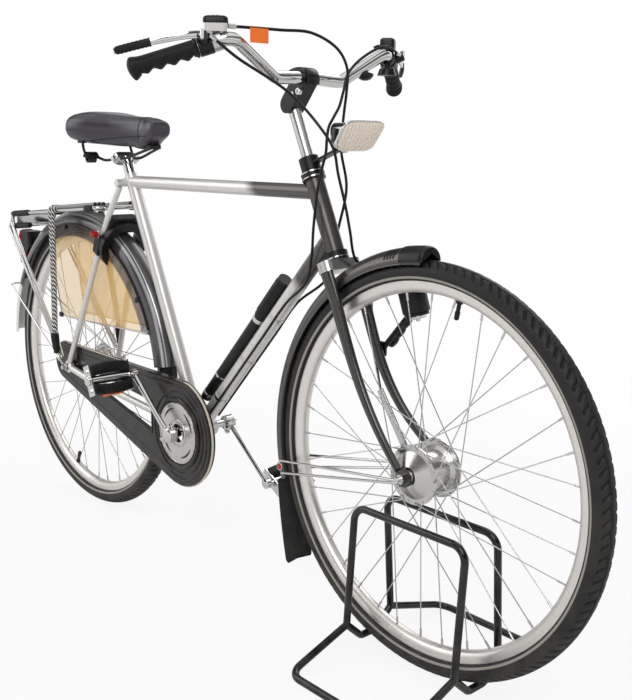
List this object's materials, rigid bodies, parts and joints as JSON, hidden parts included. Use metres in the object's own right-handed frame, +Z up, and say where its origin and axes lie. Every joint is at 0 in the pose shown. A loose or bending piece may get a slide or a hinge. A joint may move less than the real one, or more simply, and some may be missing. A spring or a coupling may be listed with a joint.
{
  "type": "city bicycle in a floor stand",
  "caption": "Upright city bicycle with full chain case, drum brake hub, mudguards, carrier and lamps, held by its front wheel in a tubular floor stand.",
  "frame": {"origin": "on the floor, under the middle of the bicycle's length and width", "axes": "+X forward, the way the bicycle rides; +Y to the rider's left; +Z up"},
  "size_m": [1.8235, 0.6696, 1.0725],
  "materials": {
    "frame_paint": "satin metallic silver",
    "dark_paint": "satin metallic anthracite",
    "bright_steel": "polished",
    "alloy": "brushed",
    "spoke_steel": "drawn wire",
    "tyre": "matt",
    "black_rubber": "matt",
    "black_plastic": "fine grain",
    "case_plastic": "gloss",
    "white_plastic": "satin",
    "amber_sheet": "translucent",
    "red_lens": "clear red",
    "clear_lens": "ribbed",
    "webbing": "black and white woven",
    "saddle_cover": "smooth",
    "spring_steel": "black",
    "stand_paint": "gloss black"
  },
  "bodies": {
    "front_end": {"fork_crown": "alloy", "fork_blades": "dark_paint", "stem_quill": "alloy", "stem_head": "black_plastic", "handlebar": "bright_steel", "grips": "black_rubber", "brake_brackets": "black_plastic", "brake_levers": "bright_steel", "gear_shifter": "alloy", "bell": "black_plastic", "headlamp": "alloy", "headlamp_bracket": "black_plastic", "headlamp_lens": "clear_lens", "front_mudguard": "dark_paint", "front_mud_flap": "black_rubber", "front_guard_stays": "bright_steel", "front_brake_plate": "alloy", "front_axle": "bright_steel", "dynamo": "alloy", "floor_stand": "stand_paint", "front_cables": "black_rubber"},
    "frame": {"head_tube": "dark_paint", "headset_cups": "black_plastic", "top_tube": "frame_paint", "down_tube": "frame_paint", "seat_tube": "frame_paint", "bottom_bracket_shell": "frame_paint", "chain_stays": "frame_paint", "seat_stays": "frame_paint", "seat_post": "bright_steel", "saddle": "saddle_cover", "saddle_frame": "spring_steel", "chain_case": "case_plastic", "chain_case_disc": "alloy", "rear_mudguard": "dark_paint", "rear_mudguard_tail": "white_plastic", "coat_guards": "amber_sheet", "tail_lamp": "black_plastic", "tail_lens": "red_lens", "rear_guard_stay": "bright_steel", "carrier_deck": "bright_steel", "carrier_legs": "bright_steel", "carrier_straps": "webbing", "ring_lock": "black_plastic", "frame_pump": "black_plastic", "rear_axle": "bright_steel", "frame_cables": "black_rubber"},
    "front_wheel": {"front_tyre": "tyre", "front_rim": "alloy", "front_hub": "alloy", "front_spokes": "spoke_steel"},
    "rear_wheel": {"rear_tyre": "tyre", "rear_rim": "alloy", "rear_hub": "alloy", "rear_spokes": "spoke_steel"},
    "crankset": {"cranks": "bright_steel"},
    "pedal_right": {"pedal_right_cage": "bright_steel", "pedal_right_rubbers": "black_rubber"},
    "pedal_left": {"pedal_left_cage": "bright_steel", "pedal_left_rubbers": "black_rubber"}
  },
  "joints": [
    {"name": "steering", "type": "hinge", "parent": "front_end", "child": "frame", "pos_m": [0.31204, 0, 0.75038], "axis": [-0.4147, 0, 0.91], "range_deg": [-70, 70]},
    {"name": "front_wheel_spin", "type": "hinge", "parent": "front_end", "child": "front_wheel", "pos_m": [0.5625, 0, 0.35], "axis": [0, 1, 0], "continuous": true},
    {"name": "rear_wheel_spin", "type": "hinge", "parent": "frame", "child": "rear_wheel", "pos_m": [-0.5245, 0, 0.35], "axis": [0, 1, 0], "continuous": true},
    {"name": "crank_spin", "type": "hinge", "parent": "frame", "child": "crankset", "pos_m": [-0.0795, 0, 0.281], "axis": [0, 1, 0], "continuous": true},
    {"name": "pedal_right_spin", "type": "hinge", "parent": "crankset", "child": "pedal_right", "pos_m": [-0.21049, -0.14, 0.38936], "axis": [0, 1, 0], "continuous": true},
    {"name": "pedal_left_spin", "type": "hinge", "parent": "crankset", "child": "pedal_left", "pos_m": [0.05149, 0.14, 0.17264], "axis": [0, 1, 0], "continuous": true}
  ]
}
